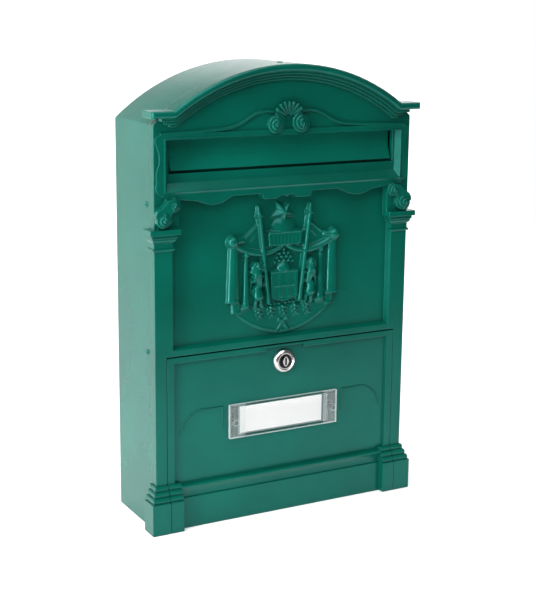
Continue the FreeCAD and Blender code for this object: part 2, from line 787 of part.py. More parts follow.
def letter_flap():
    """Folded flap: a curl round the rod, an upright face and a lower face that kicks out."""
    half = mouth_half_width - flap_end_gap
    inner = rod_radius + flap_swing_gap
    outer = inner + flap_gauge
    foot = mouth_foot - flap_foot_lap
    back = rod_y + outer
    front = back - flap_gauge
    curl = rod_x(outer, -half, half, rod_y, rod_height)
    profile = [(back, rod_height), (back, flap_crease), (back - flap_kick, foot), (front - flap_kick, foot),
               (front, flap_crease), (front, rod_height)]
    flap = joined([curl, bar(profile, -half, half)])
    return flap.cut(rod_x(inner, -half - 1, half + 1, rod_y, rod_height))


def flap_rod():
    reach = mouth_half_width + flap_end_gap + ear_width + cap_width
    return rod_x(rod_radius, -reach, reach, rod_y, rod_height)


def flap_rod_caps():
    start = mouth_half_width + flap_end_gap + ear_width + sheet_fit
    cap = rod_x(cap_radius, start, start + cap_width + 1, rod_y, rod_height)
    cap = cap.cut(rod_x(rod_radius + screw_fit, start - 1, start + cap_width, rod_y, rod_height))
    return Part.makeCompound(pair([cap]))


def door():
    front_cut_y = face_y - 50
    body = block(-door_half_width, door_half_width, face_y, lip_y, 0, door_height)
    inside = door_half_width - cast_wall
    hollow = block(-inside, inside, door_skin_y, lip_y + 1, base_height, door_height - cast_wall)
    foot_hollow = block(-plinth_inner + cast_wall, plinth_inner - cast_wall, skin_y, lip_y + 1, cast_wall,
                        base_height - cast_wall)
    half = door_panel_half_width
    notch = door_notch_half_width
    panel_outline = [(-half, door_panel_foot), (half, door_panel_foot), (half, door_panel_top),
                     (notch, door_panel_top), (notch, door_notch_top), (-notch, door_notch_top),
                     (-notch, door_panel_top), (-half, door_panel_top)]
    panel = plate(panel_outline, front_cut_y, door_panel_y)
    body = body.cut(panel).cut(hollow).cut(foot_hollow)
    added = pair([plinth(plinth_inner, door_half_width)]) + skirting() + pair([thin_arc()])
    solid = joined([body] + added)
    holes = [rod_y_axis(barrel_radius + barrel_fit, front_cut_y, lip_y, 0, lock_height)]
    holes += [rod_y_axis(stud_radius + stud_fit, front_cut_y, lip_y, x, holder_centre)
              for x in (-stud_offset, stud_offset)]
    pin_start = door_half_width - hinge_length / 2 - 1
    holes += pair([rod_x(hinge_radius + hinge_fit, pin_start, door_half_width + 1, hinge_y, hinge_height)])
    return solid.cut(holes)


def skirting():
    """Board between the plinths, with a rounded ledge and a cove above it."""
    half = plinth_inner + overlap
    front = face_y - skirting_front
    nose = base_height - plinth_height
    ledge = [(face_y + 1, plinth_height), (face_y - 0.4, plinth_height),
             (face_y - 0.8, plinth_height + 0.35 * nose, face_y - 2.6, plinth_height + 0.62 * nose),
             (face_y - 3.2, plinth_height + 0.72 * nose, face_y - 2.6, plinth_height + 0.82 * nose),
             (door_panel_y, door_panel_foot), (face_y + 3, door_panel_foot)]
    return [block(-half, half, front, face_y + overlap, 0, plinth_height), bar(ledge, -half, half)]


def thin_arc():
    """Fine raised arc on the door's panel, with an upright end beside the name holder."""
    width = 0.9
    start = holder_width / 2 + 5.5
    end = door_panel_half_width - 5.9
    top = holder_centre + 15.0
    foot = holder_centre - 6.0
    bend = start + 14.0
    outline = [(start, foot), (start, top), (bend, top), (end - 6.1, top - 6.6, end, foot),
               (end - width, foot), (end - 6.8, top - 7.2, bend, top - width), (start + width, top - width),
               (start + width, foot)]
    return plate(outline, door_panel_y - arc_rise, door_panel_y + overlap)


def door_hinge_pins():
    start = door_half_width - hinge_length / 2
    return Part.makeCompound(pair([rod_x(hinge_radius, start, start + hinge_length, hinge_y, hinge_height)]))


def lock_stack():
    """Depths of the lock's pieces, from the front of the flange to the head of the cam's screw."""
    cam_front = rail_y + rail_lip + cam_gap
    return {"flange": door_panel_y - flange_height, "seat": door_panel_y, "skin": door_skin_y,
            "end": cam_front, "cam_back": cam_front + cam_gauge}


def lock_barrel():
    at = lock_stack()
    inner = plug_radius + plug_fit
    floor = at["flange"] + plug_recess
    bowl = 0.66 * flange_radius
    shoulder = (0.92 * flange_radius, at["flange"] + 0.36 * flange_height)
    profile = [(inner, floor), (bowl, floor), (0.72 * flange_radius, at["flange"]),
               shoulder + (flange_radius, at["seat"] - 0.8), (flange_radius, at["seat"]),
               (barrel_radius, at["seat"]), (barrel_radius, at["end"]), (inner, at["end"])]
    return turned(profile, 0, lock_height)


def lock_plug():
    """Turning plug with a raised leaf-shaped key plate on its sunk face."""
    at = lock_stack()
    face = at["flange"] + plug_recess
    front = face - key_plate_rise
    body = rod_y_axis(plug_radius, face, at["end"], 0, lock_height)
    tang = block(-tang_half, tang_half, at["end"] - overlap, at["cam_back"], lock_height - tang_half,
                 lock_height + tang_half)
    half = key_plate_width / 2
    foot = lock_height - key_plate_height / 2
    top = lock_height + key_plate_height / 2
    leaf = plate([(-half, lock_height, 0, foot), (half, lock_height, 0, top)], front, face + overlap)
    width, height, depth = keyway
    slot = block(-width / 2, width / 2, front - 1, front + depth, lock_height - height / 2,
                 lock_height + height / 2)
    bore_end = at["cam_back"] - screw_length
    bore = rod_y_axis(screw_radius + screw_fit, bore_end, at["cam_back"] + 1, 0, lock_height)
    return joined([body, tang, leaf]).cut([slot, bore])


def lock_cam():
    """Flat tongue, lying to the side when the lock is open."""
    at = lock_stack()
    tip = 0.7 * cam_half_width
    outline = [(cam_length, lock_height - tip), (cam_length, lock_height + tip),
               (0, lock_height + cam_half_width),
               (-cam_half_width, lock_height, 0, lock_height - cam_half_width)]
    cam = plate(outline, at["end"], at["cam_back"])
    hole = tang_half + tang_fit
    foot = lock_height - hole
    return cam.cut(block(-hole, hole, at["end"] - 1, at["cam_back"] + 1, foot, foot + 2 * hole))


def ring(outer, inner, y0, y1, x, z):
    return rod_y_axis(outer, y0, y1, x, z).cut(rod_y_axis(inner, y0 - 1, y1 + 1, x, z))


def lock_washer():
    """Toothed washer between the nut and the door."""
    at = lock_stack()
    back = at["skin"] + washer_gauge
    washer = ring(washer_radius, barrel_radius + barrel_fit, at["skin"], back, 0, lock_height)
    teeth = 16
    for index in range(teeth):
        angle = 2 * math.pi * index / teeth
        x = (washer_radius + 0.4) * math.cos(angle)
        z = lock_height + (washer_radius + 0.4) * math.sin(angle)
        washer = washer.cut(rod_y_axis(1.0, at["skin"] - 1, at["skin"] + 2, x, z))
    return washer


def lock_nut():
    at = lock_stack()
    start = at["skin"] + washer_gauge
    radius = nut_flat / math.cos(math.pi / 6)
    turns = [math.pi * corner / 3 for corner in range(6)]
    corners = [(radius * math.cos(turn), lock_height + radius * math.sin(turn)) for turn in turns]
    nut = plate(corners, start, start + nut_height)
    return nut.cut(rod_y_axis(barrel_radius + screw_fit, start - 1, start + nut_height + 1, 0, lock_height))


def cam_washer():
    start = lock_stack()["cam_back"]
    return ring(1.5 * tang_half, screw_radius + sheet_fit, start, start + washer_gauge, 0, lock_height)


def cam_screw():
    at = lock_stack()
    seat = at["cam_back"] + washer_gauge
    stem = rod_y_axis(screw_radius, seat - screw_length + 1, seat + overlap, 0, lock_height)
    dome_radius = (screw_head_radius ** 2 + screw_head_height ** 2) / (2 * screw_head_height)
    dome = Part.makeSphere(dome_radius, Vector(0, seat + screw_head_height - dome_radius, lock_height))
    head = dome.common(rod_y_axis(screw_head_radius + 1, seat, seat + screw_head_height + 1, 0, lock_height))
    slot = block(-0.4, 0.4, seat + 0.5 * screw_head_height, seat + 2 * screw_head_height, lock_height - far,
                 lock_height + far)
    return stem.fuse(head).cut(slot)


def name_holder():
    """Clear plate with a bevelled rim, a pocket for the card behind it and two headed studs."""
    half = holder_width / 2
    foot = holder_centre - holder_height / 2
    top = holder_centre + holder_height / 2
    bevel = 1.4
    front = door_panel_y - holder_depth
    base = plate(rectangle(half, foot, top), front + bevel, door_panel_y)
    rim = tapered(rectangle(half - bevel, foot + bevel, top - bevel), front, rectangle(half, foot, top),
                  front + bevel)
    window = tapered(rectangle(window_half_width, foot + 2.2 * bevel, top - 2.2 * bevel), front,
                     rectangle(window_half_width - 0.6, foot + 2.6 * bevel, top - 2.6 * bevel), front + bevel)
    pocket = block(-window_half_width, window_half_width, door_panel_y - 2 * card_gauge - card_play,
                   door_panel_y + 1, holder_centre - card_height / 2 - card_play,
                   holder_centre + card_height / 2 + card_play)
    crown = front - stud_head_rise
    dish = front - 0.2 * stud_head_rise
    head = [(0, dish), (0.45 * stud_head_radius, dish), (0.6 * stud_head_radius, crown),
            (0.8 * stud_head_radius, crown), (stud_head_radius, front), (stud_head_radius, front + overlap),
            (0, front + overlap)]
    studs = []
    for x in (-stud_offset, stud_offset):
        studs.append(rod_y_axis(stud_radius, door_panel_y - overlap, door_skin_y + 2.5, x, holder_centre))
        studs.append(turned(head, x, holder_centre))
    return joined([joined([base, rim]).cut(window).cut(pocket)] + studs)


def name_card():
    half = card_width / 2
    return block(card_shift - half, card_shift + half, door_panel_y - card_gauge, door_panel_y,
                 holder_centre - card_height / 2, holder_centre + card_height / 2)


def holder_push_nuts():
    nuts = []
    for x in (-stud_offset, stud_offset):
        profile = [(stud_radius + screw_fit, door_skin_y + 0.8), (0.7 * push_nut_radius, door_skin_y),
                   (push_nut_radius, door_skin_y), (push_nut_radius, door_skin_y + push_nut_gauge),
                   (0.7 * push_nut_radius, door_skin_y + push_nut_gauge),
                   (stud_radius + screw_fit, door_skin_y + 0.8 + push_nut_gauge)]
        nuts.append(turned(profile, x, holder_centre))
    return Part.makeCompound(nuts)


pieces = {
    "front_casting": front_casting, "housing_wrap": housing_wrap, "back_panel": back_panel,
    "housing_screws": housing_screws, "letter_flap": letter_flap, "flap_rod": flap_rod,
    "flap_rod_caps": flap_rod_caps, "door": door, "door_hinge_pins": door_hinge_pins,
    "lock_barrel": lock_barrel, "lock_plug": lock_plug, "lock_cam": lock_cam, "lock_washer": lock_washer,
    "lock_nut": lock_nut, "cam_washer": cam_washer, "cam_screw": cam_screw, "name_holder": name_holder,
    "name_card": name_card, "holder_push_nuts": holder_push_nuts,
}

os.makedirs("parts", exist_ok=True)
for name, make in pieces.items():
    shape = make()
    shape.translate(Vector(0, 0, -wall_hole_centre))
    shape.exportStep("parts/" + name + ".step")
    print(name, len(shape.Solids), shape.isValid(), round(shape.Volume), len(shape.Faces))
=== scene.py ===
import math

import bpy
import numpy as np
from mathutils import Matrix, Vector


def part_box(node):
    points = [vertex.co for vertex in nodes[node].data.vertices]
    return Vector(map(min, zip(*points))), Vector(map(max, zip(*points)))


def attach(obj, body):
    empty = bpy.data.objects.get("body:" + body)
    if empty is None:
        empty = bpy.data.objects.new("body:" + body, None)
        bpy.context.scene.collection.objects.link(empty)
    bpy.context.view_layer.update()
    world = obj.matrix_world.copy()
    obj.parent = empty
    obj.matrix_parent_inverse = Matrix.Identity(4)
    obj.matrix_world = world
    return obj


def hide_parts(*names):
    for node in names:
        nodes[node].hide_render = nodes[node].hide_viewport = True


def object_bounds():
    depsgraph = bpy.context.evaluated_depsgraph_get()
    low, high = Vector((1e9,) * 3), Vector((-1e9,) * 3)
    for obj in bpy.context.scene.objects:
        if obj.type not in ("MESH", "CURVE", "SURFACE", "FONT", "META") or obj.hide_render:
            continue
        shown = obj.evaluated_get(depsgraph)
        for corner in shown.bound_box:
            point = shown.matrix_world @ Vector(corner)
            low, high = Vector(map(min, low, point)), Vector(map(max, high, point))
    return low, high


# Looks of the letter box: paint, metal, clear plastic and card, the fine surface of the relief of arms, and
# the flap and the screws in finer form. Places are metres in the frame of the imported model; the drawing of
# the arms is in millimetres.

# Camera of the photograph, whose frame is 536 by 594 pixels
camera_place = Vector((-0.5579, -1.0680, 0.2760))
camera_yaw = math.radians(28.69)
camera_pitch = math.radians(12.89)
camera_roll = math.radians(-0.59)
camera_lens_mm = 80.38
sensor_mm = 36.0

# Green enamel: its colour, the shades of its clouds, the painted shade that darkens its corners and hollows,
# and its ranges of roughness
green = (0.0006, 0.095, 0.065)
# The flap's green is a lighter copy of the same paint: painted light making up for the shade it sits in
# behind the slot's frame
flap_painted_light_gain = 1.25
cloud_deep = 0.82
cloud_light = 1.12
corner_painted_shade_tint = 0.25
corner_painted_shade_mix = 0.45
corner_painted_shade_reach = 0.006
bright_gloss = (0.14, 0.22)
cast_gloss = (0.18, 0.265)
sheet_gloss = (0.20, 0.265)

# Recessed panel that carries the arms
panel_y = -0.075
panel_foot = -0.019
mm = 0.001

# Lock: its centre, the radius and depth past which its face is coloured near-black, the keyway's black being
# painted shade, and the bright leaf round the keyway
lock_centre_z = -0.0415
lock_sunk_radius = 0.0066
lock_sunk_y = -0.0824
leaf_half_width = 0.0030
leaf_half_height = 0.0045
leaf_fullness = 1.5

# Clear holder: rounding of its edges, and what its pale colour hides face on and edge on, at its ends and
# over the card; the pale colour that shows more edge on is painted sheen
holder_edge = 0.0012
holder_rim = 0.4
end_cover = (0.05, 1.0)
card_cover = (-0.4, 1.0)
least_cover = 0.02

# Letter flap: sheet, curl round its rod, and the folded face, measured from the foot of the solid flap
flap_gauge = 0.0012
flap_curl_radius = 0.00278
flap_curl_turn = math.radians(290)
flap_curl_steps = 28
flap_foot_lift = 0.0054
flap_crease_lift = 0.0173
flap_kick = 0.0044
flap_bend = 0.0015
flap_pocket = 0.3
flap_end_gap = 0.0014

# Housing screws: the solid domes that they stand for, and their low heads with a cross recess
screw_dome_radius = 0.0027
screw_dome_height = 0.0018
screw_head_height = 0.0007
screw_head_fullness = 6
screw_shank_radius = 0.0015
screw_shank_length = 0.007
screw_rings = 27
screw_sides = 64
recess_reach = 0.0017
recess_half = 0.00042
recess_depth = 0.0014
recess_fade = 0.75
recess_wall = 0.25

# Relief, in millimetres on the drawing: its grid, its lift over the solid, and how forms blend and fall away
relief_half = 61.0
relief_low = 1.2
relief_high = 123.4
relief_step = 0.43
skin_lift = 0.14
sunk = -0.5
softness = 5.0
fall_slope = 6.0
level_below = -0.05
curve_steps = 8

# Studio: the floor and the backdrop that it curves up into, the floor's own glow, and the dim surround
floor_front = -0.6
floor_back = 1.6
floor_half = 1.4
floor_front_right = 0.7
floor_gap = 0.0005
floor_glow = 0.3
wall_half = 2.6
wall_top = 1.55
sweep_radius = 1.2
sweep_steps = 12
surround_strength = 0.12

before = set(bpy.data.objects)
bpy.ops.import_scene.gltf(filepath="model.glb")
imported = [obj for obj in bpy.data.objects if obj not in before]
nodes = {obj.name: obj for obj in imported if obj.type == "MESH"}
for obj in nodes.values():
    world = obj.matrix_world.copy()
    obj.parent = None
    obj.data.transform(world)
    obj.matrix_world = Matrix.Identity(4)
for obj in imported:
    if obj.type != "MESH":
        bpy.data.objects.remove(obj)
cad_low, cad_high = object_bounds()


class Look:
    """A material under construction: its tree, its shader and a few short ways to add nodes."""

    def __init__(self, name):
        self.material = bpy.data.materials.new(name)
        self.material.use_nodes = True
        self.tree = self.material.node_tree
        self.shader = self.tree.nodes["Principled BSDF"]
        self.coordinates = self.add("ShaderNodeTexCoord").outputs["Object"]

    def add(self, kind, **settings):
        """Adds a node and changes its settings."""
        node = self.tree.nodes.new(kind)
        for name, value in settings.items():
            setattr(node, name, value)
        return node

    def link(self, source, target):
        self.tree.links.new(source, target)

    def feed(self, name, source):
        """Links a source to a socket of the shader."""
        self.link(source, self.shader.inputs[name])

    def axes(self):
        """The part's own coordinates, one by one."""
        node = self.add("ShaderNodeSeparateXYZ")
        self.link(self.coordinates, node.inputs["Vector"])
        return node.outputs

    def noise(self, scale, detail, stretch=None):
        """Noise in the part's own coordinates; scale is in waves per metre."""
        texture = self.add("ShaderNodeTexNoise")
        texture.inputs["Scale"].default_value = scale
        texture.inputs["Detail"].default_value = detail
        source = self.coordinates
        if stretch:
            mapping = self.add("ShaderNodeMapping")
            mapping.inputs["Scale"].default_value = stretch
            self.link(source, mapping.inputs["Vector"])
            source = mapping.outputs["Vector"]
        self.link(source, texture.inputs["Vector"])
        return texture.outputs["Fac"]

    def ramp(self, source, *stops):
        """Colour ramp with stops of position and colour."""
        ramp = self.add("ShaderNodeValToRGB")
        elements = ramp.color_ramp.elements
        while len(elements) < len(stops):
            elements.new(1.0)
        for element, (position, colour) in zip(elements, stops):
            element.position = position
            element.color = (*colour, 1.0)
        self.link(source, ramp.inputs["Fac"])
        return ramp.outputs["Color"]

    def spread(self, source, low, high):
        """Maps a value between 0 and 1 to a range."""
        node = self.add("ShaderNodeMapRange")
        node.inputs["To Min"].default_value = low
        node.inputs["To Max"].default_value = high
        self.link(source, node.inputs["Value"])
        return node.outputs["Result"]

    def mixed(self, factor, first, second):
        """Mix of two colours, each of them fixed or from another node."""
        node = self.add("ShaderNodeMix", data_type="RGBA")
        self.link(factor, node.inputs["Factor"])
        for socket, value in ((node.inputs["A"], first), (node.inputs["B"], second)):
            if isinstance(value, tuple):
                socket.default_value = (*value, 1.0)
            else:
                self.link(value, socket)
        return node.outputs["Result"]

    def maths(self, operation, first, second):
        """One step of arithmetic on two values, each of them fixed or from another node."""
        node = self.add("ShaderNodeMath", operation=operation)
        for socket, value in zip(node.inputs, (first, second)):
            if isinstance(value, (int, float)):
                socket.default_value = value
            else:
                self.link(value, socket)
        return node.outputs["Value"]

    def bump(self, height, depth, strength, edge=0.0):
        """Bump of a given depth in metres; sharp edges are rounded by a small radius where one is given."""
        node = self.add("ShaderNodeBump")
        node.inputs["Strength"].default_value = strength
        node.inputs["Distance"].default_value = depth
        self.link(height, node.inputs["Height"])
        if edge:
            bevel = self.add("ShaderNodeBevel", samples=6)
            bevel.inputs["Radius"].default_value = edge
            self.link(bevel.outputs["Normal"], node.inputs["Normal"])
        self.feed("Normal", node.outputs["Normal"])

    def set(self, **values):
        """Sets sockets of the shader, named with underscores for spaces."""
        for name, value in values.items():
            socket = self.shader.inputs[name.replace("_", " ")]
            socket.default_value = (*value, 1.0) if isinstance(value, tuple) else value


def tinted(colour, strength):
    """A colour made deeper or lighter."""
    return tuple(strength * value for value in colour)


def green_paint(name, colour, grain, depth, edge, gloss):
    """Satin enamel: cloudy green, darkened in corners and hollows by painted shade, with the fine waves of
    sprayed paint.
    """
    look = Look(name)
    patches = look.noise(scale=14.0, detail=3.0)
    cloud = look.ramp(patches, (0.32, tinted(colour, cloud_deep)), (0.68, tinted(colour, cloud_light)))
    # Painted shade: the base colour is darkened in corners and hollows, by how closed in they are
    corners = look.add("ShaderNodeAmbientOcclusion", samples=8)
    corners.inputs["Distance"].default_value = corner_painted_shade_reach
    shade = look.spread(corners.outputs["AO"], corner_painted_shade_mix, 0.0)
    look.feed("Base Color", look.mixed(shade, cloud, tinted(colour, corner_painted_shade_tint)))
    waves = look.noise(scale=grain, detail=2.0)
    look.feed("Roughness", look.spread(waves, *gloss))
    look.set(Specular_IOR_Level=0.45, Specular_Tint=(0.32, 0.92, 1.0))
    look.bump(waves, depth, strength=0.35, edge=edge)
    return look.material


def lock_face(name):
    """Chromed lock whose face, within a small radius, is coloured near-black where it lies deeper than a set
    level and outside a leaf round the keyway; in the keyway itself this black is painted shade.
    """
    look = Look(name)
    place = look.axes()
    up = look.maths("SUBTRACT", place["Z"], lock_centre_z)
    across = place["X"]
    squares = look.maths("ADD", look.maths("MULTIPLY", across, across), look.maths("MULTIPLY", up, up))
    within = look.maths("LESS_THAN", squares, lock_sunk_radius ** 2)
    # Places deeper than a set level are coloured near-black; in the keyway this is painted shade
    deep = look.maths("GREATER_THAN", place["Y"], lock_sunk_y)
    reach = 0.0
    for distance, half in ((across, leaf_half_width), (up, leaf_half_height)):
        share = look.maths("DIVIDE", look.maths("ABSOLUTE", distance, 0.0), half)
        reach = look.maths("ADD", look.maths("POWER", share, leaf_fullness), reach)
    beside = look.maths("GREATER_THAN", reach, 1.0)
    sunk_face = look.maths("MULTIPLY", within, look.maths("MAXIMUM", deep, beside))
    marks = look.noise(scale=1200.0, detail=4.0)
    plate = look.ramp(marks, (0.3, (0.52, 0.52, 0.51)), (0.7, (0.66, 0.65, 0.64)))
    black = look.ramp(marks, (0.3, (0.015, 0.015, 0.017)), (0.7, (0.04, 0.038, 0.04)))
    look.feed("Base Color", look.mixed(sunk_face, plate, black))
    look.feed("Roughness", look.spread(marks, 0.12, 0.28))
    look.set(Metallic=1.0)
    look.bump(marks, depth=0.00003, strength=0.2)
    return look.material


def zinc(name):
    """Bright zinc plate with a fine crystal spangle."""
    look = Look(name)
    cells = look.add("ShaderNodeTexVoronoi")
    cells.inputs["Scale"].default_value = 420.0
    look.link(look.coordinates, cells.inputs["Vector"])
    tint = look.ramp(cells.outputs["Distance"], (0.1, (0.62, 0.63, 0.63)), (0.8, (0.46, 0.48, 0.50)))
    look.feed("Base Color", tint)
    look.feed("Roughness", look.spread(look.noise(scale=700.0, detail=4.0), 0.26, 0.42))
    look.set(Metallic=1.0)
    look.bump(cells.outputs["Distance"], depth=0.00004, strength=0.25)
    return look.material


def clear_plastic(name, card_half):
    """Clear moulding: open over the card, milky in its thick ends, and pale at its edges and bevels and edge
    on, where the pale colour is painted sheen.
    """
    look = Look(name)
    haze = look.noise(scale=160.0, detail=4.0)
    tint = look.ramp(haze, (0.3, (0.84, 0.93, 0.94)), (0.7, (0.90, 0.97, 0.98)))
    look.feed("Base Color", tint)
    # Painted sheen: the pale base colour covers more of what lies behind as the surface turns edge on and at
    # its bevels
    rim = look.add("ShaderNodeLayerWeight")
    rim.inputs["Blend"].default_value = holder_rim
    edges = look.add("ShaderNodeBevel", samples=6)
    edges.inputs["Radius"].default_value = holder_edge
    look.link(edges.outputs["Normal"], rim.inputs["Normal"])
    ends = look.maths("GREATER_THAN", look.maths("ABSOLUTE", look.axes()["X"], 0.0), card_half)
    milky = look.spread(rim.outputs["Facing"], *end_cover)
    open_face = look.maths("MAXIMUM", look.spread(rim.outputs["Facing"], *card_cover), least_cover)
    cover = look.maths("MULTIPLY", ends, look.maths("SUBTRACT", milky, open_face))
    look.feed("Alpha", look.maths("ADD", open_face, cover))
    look.feed("Roughness", look.spread(haze, 0.06, 0.14))
    look.set(IOR=1.49, Specular_IOR_Level=0.6)
    look.bump(haze, depth=0.00004, strength=0.2, edge=0.0004)
    return look.material


def paper(name):
    """Smooth white card with the tooth of pressed fibres."""
    look = Look(name)
    fibres = look.noise(scale=1500.0, detail=6.0, stretch=(1.0, 1.0, 2.2))
    tint = look.ramp(fibres, (0.3, (0.93, 0.93, 0.92)), (0.7, (0.97, 0.97, 0.96)))
    look.feed("Base Color", tint)
    look.feed("Roughness", look.spread(fibres, 0.55, 0.7))
    look.bump(fibres, depth=0.00004, strength=0.25)
    return look.material


def floor_paint(name):
    """Matt white floor with a faint glow, as of a lit table."""
    look = Look(name)
    cloud = look.noise(scale=3.0, detail=2.0)
    tint = look.ramp(cloud, (0.3, (0.86, 0.86, 0.86)), (0.7, (0.90, 0.90, 0.90)))
    look.feed("Base Color", tint)
    look.feed("Roughness", look.spread(cloud, 0.75, 0.85))
    look.set(Emission_Strength=floor_glow, Emission_Color=(1.0, 1.0, 1.0))
    return look.material


cast_green = green_paint("cast_green", green, grain=620.0, depth=0.00012, edge=0.0012, gloss=cast_gloss)
relief_green = green_paint("relief_green", green, grain=620.0, depth=0.00012, edge=0.0004, gloss=bright_gloss)
sheet_green = green_paint("sheet_green", green, grain=180.0, depth=0.00003, edge=0.0005, gloss=sheet_gloss)
# Painted light: the flap gets a lighter copy of the green than the rest of the box
flap_green = green_paint("flap_green", tinted(green, flap_painted_light_gain), grain=420.0, depth=0.00006, edge=0.0005,
                         gloss=bright_gloss)
lock_look = lock_face("lock_face")
card_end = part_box("name_card")[1].x
looks = {
    "front_casting": cast_green,
    "door": cast_green,
    "housing_wrap": sheet_green,
    "back_panel": sheet_green,
    "housing_screws": sheet_green,
    "letter_flap": flap_green,
    "lock_barrel": lock_look,
    "lock_plug": lock_look,
    "name_holder": clear_plastic("clear_plastic", card_end),
    "name_card": paper("card"),
}
plated = zinc("zinc_plate")
for name, node in nodes.items():
    node.data.materials.clear()
    node.data.materials.append(looks.get(name, plated))


def curve_points(x0, z0, xm, zm, x1, z1, count=curve_steps):
    """Places along a curve through three points, without its start."""
    points = []
    for t in np.linspace(0, 1, count + 1)[1:]:
        weights = (2 * (t - 0.5) * (t - 1), 4 * t * (1 - t), 2 * t * (t - 0.5))
        points.append((float(np.dot(weights, (x0, xm, x1))), float(np.dot(weights, (z0, zm, z1)))))
    return points


class Relief:
    """Height of the arms over the panel, in millimetres, on a grid of the drawing."""

    def __init__(self):
        columns = np.arange(-relief_half, relief_half + relief_step / 2, relief_step)
        rows = np.arange(relief_low, relief_high + relief_step / 2, relief_step)
        self.x, self.z = np.meshgrid(columns, rows)
        self.height = np.full(self.x.shape, sunk)

    def add(self, height):
        """Joins a form to the rest with a small fillet between them."""
        self.height = np.logaddexp(softness * self.height, softness * height) / softness

    def limb(self, x0, z0, r0, x1, z1, r1, lift):
        """Tapered round form with round ends."""
        along = np.array((x1 - x0, z1 - z0))
        share = ((self.x - x0) * along[0] + (self.z - z0) * along[1]) / max(along @ along, 1e-6)
        share = np.clip(share, 0, 1)
        radius = r0 + (r1 - r0) * share
        gap = np.hypot(self.x - x0 - share * along[0], self.z - z0 - share * along[1])
        inside = np.sqrt(np.maximum(radius ** 2 - gap ** 2, 0))
        fall = np.maximum(gap - radius, 0) * fall_slope
        self.add(np.where(gap < radius, lift + inside, lift - fall))

    def ball(self, x, z, radius, lift):
        """Half ball on the panel."""
        self.limb(x, z, radius, x, z, radius, lift)

    def fold(self, x0, z0, half0, x1, z1, half1, rise):
        """Broad low roll of cloth, cut off straight at its ends."""
        along = np.array((x1 - x0, z1 - z0))
        run = np.hypot(*along)
        share = ((self.x - x0) * along[0] + (self.z - z0) * along[1]) / run ** 2
        gap = np.abs((self.x - x0) * along[1] - (self.z - z0) * along[0]) / run
        half = half0 + (half1 - half0) * np.clip(share, 0, 1)
        crown = rise * np.sqrt(np.maximum(1 - (gap / half) ** 2, 0)) - fall_slope * np.maximum(gap - half, 0)
        past = np.maximum(np.maximum(-share, share - 1), 0) * run
        self.add(np.maximum(crown, sunk) - fall_slope * past)

    def arc(self, x0, z0, xm, zm, x1, z1, radius, lift):
        """Round roll along a curve through three places."""
        places = [(x0, z0)] + curve_points(x0, z0, xm, zm, x1, z1)
        for start, end in zip(places, places[1:]):
            self.limb(*start, radius, *end, radius, lift)

    def flat(self, corners, top, edge=0.55):
        """Flat form with a rounded edge, from the corners of its outline."""
        near = np.full(self.x.shape, np.inf)
        inside = np.zeros(self.x.shape, bool)
        for (ax, az), (bx, bz) in zip(corners, corners[1:] + corners[:1]):
            run = np.array((bx - ax, bz - az))
            share = np.clip(((self.x - ax) * run[0] + (self.z - az) * run[1]) / (run @ run), 0, 1)
            near = np.minimum(near, np.hypot(self.x - ax - share * run[0], self.z - az - share * run[1]))
            if az != bz:
                crosses = (az > self.z) != (bz > self.z)
                inside ^= crosses & (self.x < ax + (self.z - az) * run[0] / (bz - az))
        outside = np.where(inside, 0, near)
        self.add(top - (outside / edge) * (top - sunk))

    def swell(self, x, z, radius, rise, drop):
        """Low spherical swell, cut off level below its middle."""
        sphere = (radius ** 2 + rise ** 2) / (2 * rise)
        gap = np.hypot(self.x - x, self.z - z)
        cap = rise - sphere + np.sqrt(np.maximum(sphere ** 2 - gap ** 2, 0))
        below = np.maximum(z - drop - self.z, 0)
        self.add(np.maximum(cap, sunk) - fall_slope * below)

    def star(self, x, z, outer, inner, rise):
        """Faceted star with one point down."""
        angle = np.arctan2(self.x - x, z - self.z)
        gap = np.hypot(self.x - x, self.z - z)
        edge = math.pi / 5
        wedge = np.abs((angle + edge) % (2 * edge) - edge)
        rim = inner * outer * math.sin(edge) / (inner * np.sin(edge - wedge) + outer * np.sin(wedge))
        self.add(np.maximum(rise * (1 - gap / rim), sunk))

    def both(self, draw, *numbers):
        """Draws a form on the right and its mirror on the left."""
        draw(*numbers)
        across = {self.limb: (0, 3), self.fold: (0, 3), self.ball: (0,), self.arc: (0, 2, 4)}[draw]
        draw(*(-value if index in across else value for index, value in enumerate(numbers)))

    def both_flat(self, corners, top):
        """Draws a flat form on the right and its mirror on the left."""
        self.flat(corners, top)
        self.flat([(-x, z) for x, z in corners], top)

    def settled(self):
        """The height, softened as a casting is and lifted clear of the solid below it."""
        height = self.height
        padded = np.pad(height, 1, mode="edge")
        rows = (padded[:-2] + 2 * padded[1:-1] + padded[2:]) / 4
        height = (rows[:, :-2] + 2 * rows[:, 1:-1] + rows[:, 2:]) / 4
        return height + skin_lift


